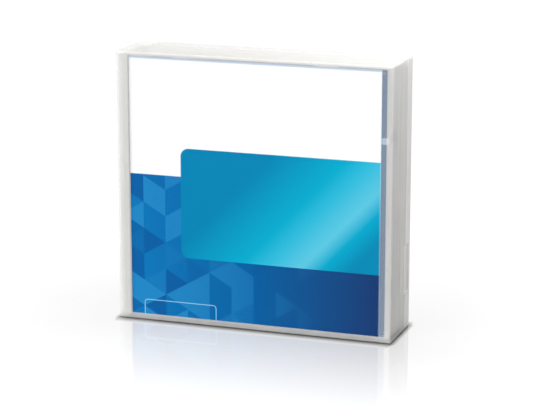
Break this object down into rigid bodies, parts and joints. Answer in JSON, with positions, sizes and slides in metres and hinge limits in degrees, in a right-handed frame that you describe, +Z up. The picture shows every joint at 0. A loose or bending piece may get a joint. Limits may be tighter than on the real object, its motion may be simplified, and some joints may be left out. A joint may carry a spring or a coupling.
{
  "type": "data tape cartridge in library case",
  "caption": "Half-inch data tape cartridge standing in its clear hinged library case, with a blue and white title card behind the front window",
  "frame": {"origin": "middle of the case's lower edge, where the standing case meets the surface", "axes": "front, with the card, faces -Y; +X runs across the case from the hinge side to the opening side; +Z up"},
  "size_m": [0.116, 0.0272, 0.111],
  "materials": {
    "clear_plastic": "clear styrene with a fine frosted grain on the walls, glossy window",
    "printed_card": "coated card stock, printed in fields of white and blue",
    "cartridge_black": "finely grained black moulding",
    "reel_white": "off-white moulded reel",
    "brake_grey": "grey moulded sliding parts",
    "tape_brown": "edge of wound coated film",
    "steel": "bright plated steel",
    "board_green": "green coated circuit board"
  },
  "bodies": {
    "tray": {"case_tray": "clear_plastic", "lower_shell": "cartridge_black", "upper_shell": "cartridge_black", "shell_screws": "steel", "leader_pin": "steel", "pin_clips": "steel", "leader_tape": "tape_brown", "memory_chip": "board_green", "door_spring": "steel", "brake_spring": "steel"},
    "lid": {"case_lid": "clear_plastic", "insert_card": "printed_card"},
    "reel": {"reel_hub": "reel_white", "upper_flange": "reel_white", "tape_pack": "tape_brown", "drive_plate": "steel"},
    "brake": {"brake_button": "brake_grey"},
    "release": {"release_pad": "brake_grey"},
    "door": {"access_door": "cartridge_black"},
    "write_tab": {"write_protect_tab": "brake_grey"}
  },
  "joints": [
    {"name": "lid_hinge", "type": "hinge", "parent": "tray", "child": "lid", "pos_m": [-0.0544, 0.0082, 0], "axis": [0, 0, -1], "range_deg": [0, 180]},
    {"name": "reel_spin", "type": "hinge", "parent": "tray", "child": "reel", "pos_m": [0.0033, 0, 0.0555], "axis": [0, 1, 0], "range_deg": [-1.4, 1.4]},
    {"name": "brake_lift", "type": "slide", "parent": "tray", "child": "brake", "axis": [0, -1, 0], "range_m": [0, 0.0016], "stiffness_N_per_m": 400, "springref_m": -0.02, "deforming": ["brake_spring"]},
    {"name": "release_lift", "type": "slide", "parent": "reel", "child": "release", "axis": [0, -1, 0], "range_m": [0, 0.0016]},
    {"name": "door_slide", "type": "slide", "parent": "tray", "child": "door", "axis": [-1, 0, 0], "range_m": [0, 0.0158], "stiffness_N_per_m": 30, "springref_m": -0.006, "deforming": ["door_spring"]},
    {"name": "write_protect_slide", "type": "slide", "parent": "tray", "child": "write_tab", "axis": [0, 0, 1], "range_m": [0, 0.0056]}
  ],
  "couplings": [
    {"joint": "release_lift", "follows": "brake_lift", "ratio": 1}
  ]
}
